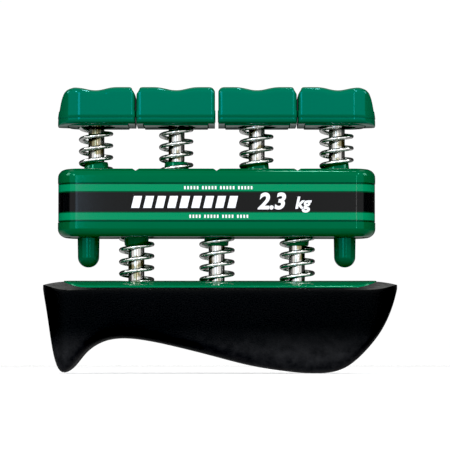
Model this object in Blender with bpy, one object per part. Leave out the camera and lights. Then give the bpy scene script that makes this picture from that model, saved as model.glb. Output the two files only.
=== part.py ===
"""Four-finger spring hand exerciser, built as separate pieces on their sliding axes.

Metres, +Z up.  X runs along the row of fingers, Y from front to back.  The origin is
under the middle of the palm grip, on the surface that the exerciser stands on.
"""
import math

import bmesh
import bpy
from mathutils import Vector

MM = 0.001

# Fits
FIT_GAP = 0.3 * MM            # between fixed pieces that touch on the real thing
SLIDE_GAP = 0.25 * MM         # radial play of a rod in its bore

# Finger spacing
FINGER_PITCH = 23.0 * MM
FINGER_COUNT = 4
ROW_CENTRE_X = -1.0 * MM      # the finger row sits a little towards the hooked end
ROW_END_MARGIN = 10.9 * MM    # from the outer rods to the ends of the housing

# Palm grip
GRIP_OVERHANG = 5.3 * MM      # past each end of the housing, before the row's offset
GRIP_DEPTH = 27.0 * MM
GRIP_EDGE_RADIUS = 5.0 * MM
GRIP_END_REACH = 8.0 * MM     # how far the rounded plan ends reach along X
GRIP_CROWN_Z = 26.5 * MM
GRIP_CROWN_DROP = 2.8 * MM    # from the crown line to the front and back rim
GRIP_CROWN_POWER = 3          # how flat the crown is across its middle
GRIP_CROWN_SHARES = (1, 0.85, 0.6, 0.2, -0.2, -0.6, -0.85, -1)
GRIP_END_DROP = 1.1 * MM      # from the crown line to the two end tips
GRIP_TIP_THICKNESS = 1.0 * MM
GRIP_TIP_SHARE = 0.12         # of the grip's depth, left at each end tip
GRIP_EDGE_SHARE = 0.6         # the most that the lower edge may take of a thin section
TOE_RISE = 10.1 * MM          # height of the palm arch over the toe
HOOK_WALL = ((1.9 * MM, 0.6), (3.0 * MM, 0.26))     # in from the left end, share of tip height
TOE_EDGE = (4.0 * MM, 1.2 * MM)
TOE_FLAT = (5.6 * MM, 7.4 * MM)
TOE_BACK = ((9.7 * MM, 0.25), (12.2 * MM, 0.61))    # in from the left end, share of the arch
PALM_START = 17.0 * MM
PALM_RAMP = ((0, 0.91), (0.1, 1), (0.25, 0.9), (0.49, 0.58), (0.75, 0.2))  # shares of each
HEEL_FLAT = (27.0 * MM, 19.5 * MM)                  # in from the right end
HEEL_CURVE = ((13.2 * MM, 2.6 * MM), (6.0 * MM, 10.3 * MM), (2.2 * MM, 17.4 * MM))

# Green insert in the top of the grip
INSERT_MARGIN_X = 5.7 * MM    # rim width at the ends
INSERT_MARGIN_Y = 1.4 * MM    # rim width at the front and back
INSERT_END_REACH = 7.0 * MM
INSERT_CORNER_SHARE = 0.8     # of its half depth that each rounded plan corner takes
INSERT_THICKNESS = 4.7 * MM
INSERT_PROUD = 0.15 * MM
WELL_DEPTH = 2.4 * MM         # spring wells, below the crown line

# Housing
HOUSING_DEPTH = 22.0 * MM
HOUSING_HEIGHT = 19.4 * MM
LOWER_GAP = 12.3 * MM         # from the insert's crown line to the housing
HOUSING_STROKE = 3.8 * MM     # from the stop pegs down to the insert's crown line
HOUSING_END_REACH = 6.0 * MM
HOUSING_END_FLAT = 2.0 * MM   # half the width of the flat that is left at each end
HOUSING_FILLET = 2.4 * MM
HOUSING_WALL = 2.4 * MM
NOTCH_WIDTH = 2.0 * MM
NOTCH_DEPTH = 0.7 * MM

# Label band round the housing
LABEL_BELOW_TOP = 4.3 * MM
LABEL_ABOVE_UNDERSIDE = 4.4 * MM
LABEL_THICKNESS = 0.5 * MM
LABEL_SUNK = 0.1 * MM

# Rods, retaining clips and the bosses they slide in
ROD_DIAMETER = 4.6 * MM
ROD_HEAD_RIM = 1.7 * MM       # how far a head stands out round its rod
ROD_HEAD_THICKNESS = 1.6 * MM
ROD_GROOVE_DEPTH = 0.5 * MM
ROD_END_BEYOND_CLIP = 1.6 * MM
CLIP_RIM = 1.9 * MM
CLIP_THICKNESS = 1.2 * MM
CLIP_OPENING_DEG = 60
BOSS_HEIGHT = 2.35 * MM
BOSS_BASE_WALL = 1.15 * MM
BOSS_TIP_WALL = 0.75 * MM
BOSS_ROOT_SHARE = 0.3         # of its height, sunk into the wall it stands on

# Springs
SPRING_WIRE = 1.0 * MM
SPRING_INNER_GAP = 0.25 * MM  # radial room between a boss and its spring
SPRING_PITCH = 3.45 * MM
SPRING_SEAT_DEPTH = 0.8 * MM
SPRING_SEAT_GAP = 0.5 * MM    # radial room round a spring in its seat or well
UPPER_SPRING_TURN_DEG = (-70.0, -205.0, -8.0, -18.0)
LOWER_SPRING_TURN_DEG = (-225.0, -60.0, -75.0)

# Stop pegs under the housing
PEG_BEYOND_ROD = 2.2 * MM     # outwards from the outer rods
PEG_DIAMETER = 6.3 * MM
PEG_TAPER = 0.15 * MM
PEG_SPIGOT_DIAMETER = 3.4 * MM

# Finger buttons
UPPER_GAP = 12.3 * MM         # from the housing to the buttons
BUTTON_HEIGHT = 10.9 * MM
BUTTON_DEPTH = 22.0 * MM
BUTTON_GAP = 0.4 * MM         # between the first and last pairs
BUTTON_CENTRE_GAP = 0.9 * MM  # between the two middle buttons
BUTTON_OUTER_REACH = 11.0 * MM
BUTTON_WALL = 1.7 * MM
BUTTON_ROOF = 2.6 * MM
BUTTON_EDGE_RADIUS = 1.3 * MM
BUTTON_CHAMFER = 0.9 * MM
BUTTON_LIP = 1.2 * MM         # bevel along the lower edge
BUTTON_END_REACH = 6.0 * MM
BUTTON_END_FLAT = 2.0 * MM
BUTTON_DRAFT = math.tan(math.radians(9.0))
SHOULDER_REACH = 4.5 * MM
SHOULDER_DROP = 3.0 * MM
FINGER_DIP = 1.0 * MM
FINGER_DIP_HALF_WIDTH = 5.6 * MM
PLATE_THICKNESS = 2.0 * MM
SOCKET_WALL = 1.5 * MM

# How finely curves are drawn
ROUND_SIDES = 24
CORNER_STEPS = 3
OUTLINE_STEPS = 5             # round each corner of the housing's plan
INSERT_STEPS = 4
LONG_SIDE_POINTS = 8          # along a side whose height waves or is crowned
UNDERSIDE_STEPS = 3           # between two points of the grip's underside
COIL_POINTS = 14              # a turn of spring
CLIP_STEPS = 12
SHARP_DEG = 35

# Places worked out from the sizes above
ROW_LENGTH = FINGER_PITCH * (FINGER_COUNT - 1)
HOUSING_LENGTH = ROW_LENGTH + 2 * ROW_END_MARGIN
HALF_LENGTH = HOUSING_LENGTH / 2 + GRIP_OVERHANG
ROD_RADIUS = ROD_DIAMETER / 2
BORE_RADIUS = ROD_RADIUS + SLIDE_GAP
HEAD_RADIUS = ROD_RADIUS + ROD_HEAD_RIM
BOSS_BASE_RADIUS = BORE_RADIUS + BOSS_BASE_WALL
BOSS_TIP_RADIUS = BORE_RADIUS + BOSS_TIP_WALL
SPRING_DIAMETER = 2 * (BOSS_BASE_RADIUS + SPRING_INNER_GAP + SPRING_WIRE)
SPRING_MEAN_RADIUS = (SPRING_DIAMETER - SPRING_WIRE) / 2
SEAT_RADIUS = SPRING_DIAMETER / 2 + SPRING_SEAT_GAP
HOUSING_UNDER_Z = GRIP_CROWN_Z + LOWER_GAP
HOUSING_TOP_Z = HOUSING_UNDER_Z + HOUSING_HEIGHT
FLOOR_TOP_Z = HOUSING_UNDER_Z + HOUSING_WALL
ROOF_UNDER_Z = HOUSING_TOP_Z - HOUSING_WALL
BUTTON_UNDER_Z = HOUSING_TOP_Z + UPPER_GAP
BUTTON_TOP_Z = BUTTON_UNDER_Z + BUTTON_HEIGHT
INSERT_UNDER_Z = GRIP_CROWN_Z - INSERT_THICKNESS
POCKET_FLOOR_Z = INSERT_UNDER_Z - FIT_GAP
WELL_FLOOR_Z = GRIP_CROWN_Z - WELL_DEPTH
LABEL_TOP_Z = HOUSING_TOP_Z - LABEL_BELOW_TOP
LABEL_LOW_Z = HOUSING_UNDER_Z + LABEL_ABOVE_UNDERSIDE
UPPER_ROD_X = [ROW_CENTRE_X - ROW_LENGTH / 2 + k * FINGER_PITCH for k in range(FINGER_COUNT)]
LOWER_ROD_X = [(a + b) / 2 for a, b in zip(UPPER_ROD_X, UPPER_ROD_X[1:])]
PEG_X = [UPPER_ROD_X[0] - PEG_BEYOND_ROD, UPPER_ROD_X[-1] + PEG_BEYOND_ROD]


def clear_scene():
    for thing in list(bpy.data.objects):
        bpy.data.objects.remove(thing)


def material(name, colour, roughness, metallic=0.0):
    made = bpy.data.materials.new(name)
    made.use_nodes = True
    shader = made.node_tree.nodes["Principled BSDF"]
    shader.inputs["Base Color"].default_value = (*colour, 1.0)
    shader.inputs["Roughness"].default_value = roughness
    shader.inputs["Metallic"].default_value = metallic
    made.diffuse_color = (*colour, 1.0)
    return made


def finish(name, bm, look, place=(0.0, 0.0, 0.0)):
    """Turn a bmesh into a named object, with its faces pointing outwards."""
    bmesh.ops.recalc_face_normals(bm, faces=bm.faces)
    mesh = bpy.data.meshes.new(name)
    bm.to_mesh(mesh)
    bm.free()
    mesh.shade_smooth()
    mesh.set_sharp_from_angle(angle=math.radians(SHARP_DEG))
    made = bpy.data.objects.new(name, mesh)
    if look:
        mesh.materials.append(look)
    made.location = place
    bpy.context.scene.collection.objects.link(made)
    return made


def bridge(bm, first, second):
    count = len(first)
    for i in range(count):
        j = (i + 1) % count
        bm.faces.new((first[i], first[j], second[j], second[i]))


def add_rings(bm, rings, ladder=False):
    """Skin a stack of equal rings and close both ends.

    A ladder end joins each front point to the back point beside it, which keeps a
    waved end true where one flat face could not.
    """
    loops = [[bm.verts.new(point) for point in ring] for ring in rings]
    for lower, upper in zip(loops, loops[1:]):
        bridge(bm, lower, upper)
    for loop in (loops[0], loops[-1]):
        if not ladder:
            bm.faces.new(loop)
            continue
        half = len(loop) // 2
        for i in range(half - 1):
            bm.faces.new((loop[i], loop[i + 1], loop[-2 - i], loop[-1 - i]))


def add_turned(bm, profile, centre=(0.0, 0.0), sides=ROUND_SIDES):
    """A solid of revolution about a vertical axis; profile is (radius, z) up the side."""
    rings = []
    for radius, z in profile:
        ring = []
        for k in range(sides):
            angle = 2 * math.pi * k / sides
            ring.append((centre[0] + radius * math.cos(angle),
                         centre[1] + radius * math.sin(angle), z))
        rings.append(ring)
    add_rings(bm, rings)


def add_tube(bm, inner, outer, low, high, centre, sides=ROUND_SIDES):
    """A plain ring about a vertical axis, used to cut a spring seat round a boss."""
    section = ((outer, low), (outer, high), (inner, high), (inner, low))
    loops = []
    for radius, z in section:
        loops.append([bm.verts.new((centre[0] + radius * math.cos(2 * math.pi * k / sides),
                                    centre[1] + radius * math.sin(2 * math.pi * k / sides),
                                    z)) for k in range(sides)])
    for first, second in zip(loops, loops[1:] + loops[:1]):
        bridge(bm, first, second)


def half_outline(start, end, depth, corner_start, corner_end, between=2, steps=CORNER_STEPS):
    """Front half of a plan outline, left to right, as (x, half depth) points.

    Each corner is a quarter ellipse, (reach along X, reach along Y); one step makes a
    chamfer of it.
    """
    points = []
    for k in range(steps + 1):
        angle = math.pi / 2 * k / steps
        points.append((start + corner_start[0] * (1 - math.cos(angle)),
                       depth - corner_start[1] * (1 - math.sin(angle))))
    flat_start = start + corner_start[0]
    flat_end = end - corner_end[0]
    for k in range(1, between + 1):
        points.append((flat_start + (flat_end - flat_start) * k / (between + 1), depth))
    for k in range(steps, -1, -1):
        angle = math.pi / 2 * k / steps
        points.append((end - corner_end[0] * (1 - math.cos(angle)),
                       depth - corner_end[1] * (1 - math.sin(angle))))
    return points


def plan_ring(half, height):
    """The whole outline: front left to right, then back right to left."""
    front = [(x, -y, height(x)) for x, y in half]
    back = [(x, y, height(x)) for x, y in reversed(half)]
    return front + back


def cut(target, cutter, operation="DIFFERENCE"):
    cutter.hide_render = True
    cutter.display_type = "WIRE"
    step = target.modifiers.new(cutter.name, "BOOLEAN")
    step.operation = operation
    step.solver = "EXACT"
    step.object = cutter


def smooth_curve(points, steps):
    """A Catmull-Rom curve through the points."""
    padded = [points[0]] + list(points) + [points[-1]]
    path = []
    for a, b, c, d in zip(padded, padded[1:], padded[2:], padded[3:]):
        for k in range(steps):
            t = k / steps
            path.append(tuple(
                0.5 * (2 * q + (r - p) * t + (2 * p - 5 * q + 4 * r - s) * t * t
                       + (3 * q - p - 3 * r + s) * t ** 3)
                for p, q, r, s in zip(a, b, c, d)))
    path.append(tuple(points[-1]))
    return path


# --- Palm base -------------------------------------------------------------------

def crown_z(x, y):
    """Height of the base's crowned top."""
    across = abs(2 * y / GRIP_DEPTH) ** GRIP_CROWN_POWER
    along = max(0.0, abs(x) - (HALF_LENGTH - GRIP_END_REACH)) / GRIP_END_REACH
    return GRIP_CROWN_Z - GRIP_CROWN_DROP * across - GRIP_END_DROP * along ** 2


def grip_half_depth(x):
    past = max(0.0, abs(x) - (HALF_LENGTH - GRIP_END_REACH)) / GRIP_END_REACH
    bulge = math.sqrt(max(0.0, 1 - past * past))
    return GRIP_DEPTH / 2 * (GRIP_TIP_SHARE + (1 - GRIP_TIP_SHARE) * bulge)


def grip_underside():
    """Underside as (x, z): hook wall, rounded toe, palm arch, long ramp and round heel."""
    left = -HALF_LENGTH
    right = HALF_LENGTH
    tip = GRIP_CROWN_Z - GRIP_END_DROP - GRIP_TIP_THICKNESS
    hook = [(left, tip)] + [(left + x, tip * share) for x, share in HOOK_WALL]
    toe = [(left + TOE_EDGE[0], TOE_EDGE[1])] + [(left + x, 0.0) for x in TOE_FLAT]
    toe += [(left + x, TOE_RISE * share) for x, share in TOE_BACK]
    start = left + PALM_START
    span = right - HEEL_FLAT[0] - start
    palm = [(start + span * along, TOE_RISE * rise) for along, rise in PALM_RAMP]
    heel = [(right - x, 0.0) for x in HEEL_FLAT]
    heel += [(right - x, z) for x, z in HEEL_CURVE] + [(right, tip)]
    return smooth_curve(hook + toe + palm + heel, UNDERSIDE_STEPS)


def base_section(x, depth, low, radius, top):
    """Cross-section of the base at x: crowned top, flat underside, rounded lower edges."""
    points = []
    for k in range(CORNER_STEPS + 1):
        angle = math.pi / 2 * k / CORNER_STEPS
        points.append((x, -(depth - radius * (1 - math.cos(angle))),
                       low + radius * (1 - math.sin(angle))))
    mirrored = [(x, -y, z) for _, y, z in reversed(points)]
    crest = [(x, depth * share, top(x, depth * share)) for share in GRIP_CROWN_SHARES]
    return points + mirrored + crest


def palm_grip(look):
    rings = []
    for x, low in grip_underside():
        low = max(low, 0.0)
        depth = grip_half_depth(x)
        room = crown_z(x, depth) - low
        radius = min(GRIP_EDGE_RADIUS, GRIP_EDGE_SHARE * depth, GRIP_EDGE_SHARE * room)
        rings.append(base_section(x, depth, low, radius, crown_z))
    bm = bmesh.new()
    add_rings(bm, rings)
    grip = finish("palm_grip", bm, look)

    pocket = bmesh.new()
    half = insert_outline(FIT_GAP)
    add_rings(pocket, [plan_ring(half, lambda x: POCKET_FLOOR_Z),
                       plan_ring(half, lambda x: GRIP_CROWN_Z + WELL_DEPTH)])
    cut(grip, finish("grip_pocket", pocket, None))

    head_room = bmesh.new()
    for x in LOWER_ROD_X:
        radius = HEAD_RADIUS + FIT_GAP
        floor = POCKET_FLOOR_Z - ROD_HEAD_THICKNESS - FIT_GAP
        add_turned(head_room, [(radius, floor), (radius, POCKET_FLOOR_Z + WELL_DEPTH / 2)], (x, 0.0))
    cut(grip, finish("rod_head_pockets", head_room, None))
    return grip


def insert_outline(margin):
    """Plan of the insert, or of its pocket when a margin is added."""
    end = HALF_LENGTH - INSERT_MARGIN_X + margin
    depth = GRIP_DEPTH / 2 - INSERT_MARGIN_Y + margin
    corner = (INSERT_END_REACH, INSERT_CORNER_SHARE * depth)
    return half_outline(-end, end, depth, corner, corner, LONG_SIDE_POINTS, INSERT_STEPS)


def palm_insert(look):
    def top(x, y):
        return crown_z(x, y) + INSERT_PROUD
    rings = [base_section(x, depth, INSERT_UNDER_Z, FIT_GAP, top)
             for x, depth in insert_outline(-FIT_GAP)]
    bm = bmesh.new()
    add_rings(bm, rings)
    insert = finish("palm_insert", bm, look)
    wells = bmesh.new()
    bores = bmesh.new()
    for x in LOWER_ROD_X:
        over = GRIP_CROWN_Z + WELL_DEPTH
        add_turned(wells, [(SEAT_RADIUS, WELL_FLOOR_Z), (SEAT_RADIUS, over)], (x, 0.0))
        add_turned(bores, [(ROD_RADIUS + FIT_GAP, POCKET_FLOOR_Z - FIT_GAP),
                           (ROD_RADIUS + FIT_GAP, over)], (x, 0.0))
    cut(insert, finish("spring_wells", wells, None))
    cut(insert, finish("insert_rod_holes", bores, None))
    return insert


# --- Housing ---------------------------------------------------------------------

def housing_outline(inset):
    start = ROW_CENTRE_X - HOUSING_LENGTH / 2 + inset
    end = ROW_CENTRE_X + HOUSING_LENGTH / 2 - inset
    depth = HOUSING_DEPTH / 2 - inset
    corner = (HOUSING_END_REACH - inset / 2, depth - HOUSING_END_FLAT + inset / 2)
    return half_outline(start, end, depth, corner, corner, steps=OUTLINE_STEPS)


def level(half, z):
    return plan_ring(half, lambda x: z)


def add_boss(bm, x, base_z, tip_z):
    """A tapered guide boss, rooted a little inside the wall that it stands on."""
    root_z = base_z + (base_z - tip_z) * BOSS_ROOT_SHARE
    low, high = sorted(((root_z, BOSS_BASE_RADIUS), (tip_z, BOSS_TIP_RADIUS)))
    add_turned(bm, [(low[1], low[0]), (high[1], high[0])], (x, 0.0))


def housing_shell(look):
    bm = bmesh.new()
    fillet = HOUSING_FILLET
    rings = []
    for angle in (0, 30, 60, 90):
        turn = math.radians(angle)
        rings.append(level(housing_outline(fillet * (1 - math.sin(turn))),
                           HOUSING_UNDER_Z + fillet * (1 - math.cos(turn))))
    for angle in (90, 60, 30, 0):
        turn = math.radians(angle)
        rings.append(level(housing_outline(fillet * (1 - math.sin(turn))),
                           HOUSING_TOP_Z - fillet * (1 - math.cos(turn))))
    add_rings(bm, rings)
    shell = finish("housing_shell", bm, look)

    bosses = bmesh.new()
    for x in UPPER_ROD_X:
        add_boss(bosses, x, HOUSING_TOP_Z, HOUSING_TOP_Z + BOSS_HEIGHT)
    cut(shell, finish("shell_bosses", bosses, None), "UNION")

    hollow = bmesh.new()
    inner = housing_outline(HOUSING_WALL + HOUSING_FILLET / 4)
    add_rings(hollow, [level(inner, HOUSING_UNDER_Z - HOUSING_WALL), level(inner, ROOF_UNDER_Z)])
    for x in LOWER_ROD_X:
        reach = HOUSING_DEPTH
        edge = [(x - NOTCH_WIDTH, HOUSING_TOP_Z + NOTCH_DEPTH), (x, HOUSING_TOP_Z - NOTCH_DEPTH),
                (x + NOTCH_WIDTH, HOUSING_TOP_Z + NOTCH_DEPTH)]
        add_rings(hollow, [[(px, y, pz) for px, pz in edge] for y in (-reach, reach)])
    add_band(hollow, LABEL_THICKNESS + FIT_GAP + LABEL_SUNK, -HOUSING_WALL,
             LABEL_LOW_Z - FIT_GAP, LABEL_TOP_Z + FIT_GAP)
    cut(shell, finish("shell_hollow", hollow, None))

    drilled = bmesh.new()
    for x in UPPER_ROD_X:
        add_turned(drilled, [(BORE_RADIUS, ROOF_UNDER_Z - HOUSING_WALL),
                             (BORE_RADIUS, HOUSING_TOP_Z + 2 * BOSS_HEIGHT)], (x, 0.0))
        add_tube(drilled, BOSS_BASE_RADIUS, SEAT_RADIUS, HOUSING_TOP_Z - SPRING_SEAT_DEPTH,
                 HOUSING_TOP_Z + BOSS_HEIGHT / 2, (x, 0.0))
    cut(shell, finish("shell_bores", drilled, None))
    return shell


def add_band(bm, inner, outer, low, high):
    """A band round the housing between two insets, closed on itself."""
    loops = []
    for inset, z in ((outer, low), (outer, high), (inner, high), (inner, low)):
        loops.append([bm.verts.new(point) for point in level(housing_outline(inset), z)])
    for first, second in zip(loops, loops[1:] + loops[:1]):
        bridge(bm, first, second)


def label_band(look):
    bm = bmesh.new()
    add_band(bm, LABEL_THICKNESS + LABEL_SUNK, LABEL_SUNK, LABEL_LOW_Z, LABEL_TOP_Z)
    return finish("label_band", bm, look)


def housing_floor(look):
    plate = housing_outline(HOUSING_WALL + HOUSING_FILLET / 4 + FIT_GAP)
    bm = bmesh.new()
    add_rings(bm, [level(plate, HOUSING_UNDER_Z), level(plate, FLOOR_TOP_Z)])
    floor = finish("housing_floor", bm, look)
    bosses = bmesh.new()
    for x in LOWER_ROD_X:
        add_boss(bosses, x, HOUSING_UNDER_Z, HOUSING_UNDER_Z - BOSS_HEIGHT)
    cut(floor, finish("floor_bosses", bosses, None), "UNION")
    drilled = bmesh.new()
    for x in LOWER_ROD_X:
        add_turned(drilled, [(BORE_RADIUS, HOUSING_UNDER_Z - 2 * BOSS_HEIGHT),
                             (BORE_RADIUS, FLOOR_TOP_Z + HOUSING_WALL)], (x, 0.0))
        add_tube(drilled, BOSS_BASE_RADIUS, SEAT_RADIUS, HOUSING_UNDER_Z - BOSS_HEIGHT / 2,
                 HOUSING_UNDER_Z + SPRING_SEAT_DEPTH, (x, 0.0))
    for x in PEG_X:
        radius = PEG_SPIGOT_DIAMETER / 2 + FIT_GAP
        add_turned(drilled, [(radius, HOUSING_UNDER_Z - HOUSING_WALL),
                             (radius, FLOOR_TOP_Z + HOUSING_WALL)], (x, 0.0))
    cut(floor, finish("floor_bores", drilled, None))
    return floor


def stop_peg(name, x, look):
    """A round-ended peg hanging from the floor, its spigot up through it."""
    radius = PEG_DIAMETER / 2 - PEG_TAPER
    top = HOUSING_UNDER_Z - FIT_GAP
    tip = GRIP_CROWN_Z + HOUSING_STROKE
    profile = []
    for angle in (10, 30, 50, 70, 90):
        turn = math.radians(angle)
        profile.append((radius * math.sin(turn), tip + radius * (1 - math.cos(turn))))
    profile[0] = (profile[0][0], tip)
    profile += [(PEG_DIAMETER / 2, top), (PEG_SPIGOT_DIAMETER / 2, top),
                (PEG_SPIGOT_DIAMETER / 2, FLOOR_TOP_Z + HOUSING_WALL / 2)]
    bm = bmesh.new()
    add_turned(bm, [(r, z - HOUSING_UNDER_Z) for r, z in profile])
    return finish(name, bm, look, (x, 0.0, HOUSING_UNDER_Z))


# --- Rods, clips and springs -------------------------------------------------------

def rod_profile(clip_low, far_end, near_end):
    """(radius, z) up a rod that has its clip groove near the far end."""
    groove = ROD_RADIUS - ROD_GROOVE_DEPTH
    low = clip_low - FIT_GAP
    high = clip_low + CLIP_THICKNESS + FIT_GAP
    bottom, top = sorted((far_end, near_end))
    return [(ROD_RADIUS, bottom), (ROD_RADIUS, low), (groove, low), (groove, high),
            (ROD_RADIUS, high), (ROD_RADIUS, top)]


def clip(name, x, low, look):
    """A C-shaped retaining clip, open at the back."""
    inner = ROD_RADIUS - ROD_GROOVE_DEPTH + FIT_GAP
    outer = ROD_RADIUS + CLIP_RIM
    rings = []
    for k in range(CLIP_STEPS + 1):
        angle = math.radians(90 + CLIP_OPENING_DEG / 2
                             + (360 - CLIP_OPENING_DEG) * k / CLIP_STEPS)
        rings.append([(r * math.cos(angle), r * math.sin(angle), z)
                      for r, z in ((inner, 0.0), (outer, 0.0), (outer, CLIP_THICKNESS),
                                   (inner, CLIP_THICKNESS))])
    bm = bmesh.new()
    add_rings(bm, rings)
    return finish(name, bm, look, (x, 0.0, low))


def spring(name, x, low, high, start_deg, look):
    """A right-handed coil of round wire standing between two seats."""
    rise = high - low - SPRING_WIRE
    turns = rise / SPRING_PITCH
    count = max(2, round(turns * COIL_POINTS))
    curve = bpy.data.curves.new(name, "CURVE")
    curve.dimensions = "3D"
    curve.bevel_depth = SPRING_WIRE / 2
    curve.bevel_resolution = 1
    curve.use_fill_caps = True
    spline = curve.splines.new("POLY")
    spline.points.add(count)
    for k in range(count + 1):
        angle = math.radians(start_deg) + 2 * math.pi * turns * k / count
        spline.points[k].co = (SPRING_MEAN_RADIUS * math.cos(angle),
                               SPRING_MEAN_RADIUS * math.sin(angle),
                               rise * k / count, 1.0)
    curve.materials.append(look)
    made = bpy.data.objects.new(name, curve)
    made.location = (x, 0.0, low + SPRING_WIRE / 2)
    bpy.context.scene.collection.objects.link(made)
    return made


# --- Finger buttons ----------------------------------------------------------------

def button_span(index):
    """Left and right side of one button at its lower edge."""
    centre = UPPER_ROD_X[index]
    facing = [BUTTON_OUTER_REACH] + [(FINGER_PITCH - gap) / 2
                                     for gap in (BUTTON_GAP, BUTTON_CENTRE_GAP, BUTTON_GAP)]
    facing.append(BUTTON_OUTER_REACH)
    return centre - facing[index], centre + facing[index + 1]


def button_top(index, x):
    """Height of a button's waved top: a finger dip over the rod, round outer shoulder."""
    away = abs(x - UPPER_ROD_X[index]) / FINGER_DIP_HALF_WIDTH
    height = BUTTON_TOP_Z
    if away < 1:
        height -= FINGER_DIP * (0.5 + 0.5 * math.cos(math.pi * away))
    start, end = button_span(index)
    outer = None
    if index == 0:
        outer = x - start
    if index == FINGER_COUNT - 1:
        outer = end - x
    if outer is not None and outer < SHOULDER_REACH + BUTTON_EDGE_RADIUS:
        past = 1 - max(0.0, outer - BUTTON_EDGE_RADIUS) / SHOULDER_REACH
        height -= SHOULDER_DROP * (1 - math.sqrt(1 - min(1.0, past) ** 2))
    return height


def button_half(index, inset, above):
    """Plan of a button: chamfered where it faces its neighbour, round at the row's ends."""
    start, end = button_span(index)
    corner = BUTTON_CHAMFER
    lean = BUTTON_DRAFT * above
    sharp = (max(corner - inset, FIT_GAP), max(corner - inset, FIT_GAP))
    depth = BUTTON_DEPTH / 2 - inset
    blunt = (BUTTON_END_REACH - inset / 2, depth - BUTTON_END_FLAT + inset / 2)
    left = blunt if index == 0 else sharp
    right = blunt if index == FINGER_COUNT - 1 else sharp
    lean_left = lean if index == 0 else 0.0
    lean_right = lean if index == FINGER_COUNT - 1 else 0.0
    return half_outline(start + inset + lean_left, end - inset - lean_right,
                        depth, left, right, LONG_SIDE_POINTS)


def button_cap(index, look):
    def over(x):
        return button_top(index, x)

    edge = BUTTON_EDGE_RADIUS
    wall_top = BUTTON_HEIGHT - SHOULDER_DROP - edge
    rings = [plan_ring(button_half(index, BUTTON_LIP / 2, 0.0), lambda x: BUTTON_UNDER_Z),
             plan_ring(button_half(index, 0.0, 0.0), lambda x: BUTTON_UNDER_Z + BUTTON_LIP)]
    for angle in (0, 45, 90):
        turn = math.radians(angle)
        inset = edge * (1 - math.cos(turn))
        drop = edge * (1 - math.sin(turn))
        rings.append(plan_ring(button_half(index, inset, wall_top),
                               lambda x, drop=drop: over(x) - drop))
    bm = bmesh.new()
    add_rings(bm, rings, ladder=True)
    name = "button_cap_%d" % (index + 1)
    cap = finish(name, bm, look)

    x = UPPER_ROD_X[index]
    roof = BUTTON_TOP_Z - FINGER_DIP - BUTTON_ROOF
    mouth = BUTTON_UNDER_Z - PLATE_THICKNESS
    room = bmesh.new()
    inner = button_half(index, BUTTON_WALL, wall_top)
    add_rings(room, [plan_ring(inner, lambda x: mouth), plan_ring(inner, lambda x: roof)])
    hollow = finish(name + "_hollow", room, None)
    post = bmesh.new()
    socket = ROD_RADIUS + FIT_GAP + SOCKET_WALL
    add_turned(post, [(socket, BUTTON_UNDER_Z + PLATE_THICKNESS + FIT_GAP),
                      (socket, roof + BUTTON_ROOF / 2)], (x, 0.0))
    cut(hollow, finish(name + "_socket", post, None))
    cut(cap, hollow)
    bore = bmesh.new()
    radius = ROD_RADIUS + FIT_GAP
    add_turned(bore, [(radius, mouth), (radius, roof)], (x, 0.0))
    cut(cap, finish(name + "_bore", bore, None))
    return cap


def button_plate(index, look):
    """The plate that closes a button from below, with a seat for the spring."""
    name = "button_plate_%d" % (index + 1)
    x = UPPER_ROD_X[index]
    wall_top = BUTTON_HEIGHT - SHOULDER_DROP - BUTTON_EDGE_RADIUS
    half = button_half(index, BUTTON_WALL + FIT_GAP, wall_top)
    bm = bmesh.new()
    add_rings(bm, [level(half, BUTTON_UNDER_Z), level(half, BUTTON_UNDER_Z + PLATE_THICKNESS)])
    plate = finish(name, bm, look)
    drilled = bmesh.new()
    add_turned(drilled, [(ROD_RADIUS + FIT_GAP, BUTTON_UNDER_Z - PLATE_THICKNESS),
                         (ROD_RADIUS + FIT_GAP, BUTTON_UNDER_Z + 2 * PLATE_THICKNESS)], (x, 0.0))
    cut(plate, finish(name + "_hole", drilled, None))
    seat = bmesh.new()
    add_turned(seat, [(SEAT_RADIUS, BUTTON_UNDER_Z - PLATE_THICKNESS),
                      (SEAT_RADIUS, BUTTON_UNDER_Z + SPRING_SEAT_DEPTH)], (x, 0.0))
    cut(plate, finish(name + "_seat", seat, None))
    return plate


# --- The whole exerciser -----------------------------------------------------------

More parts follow.
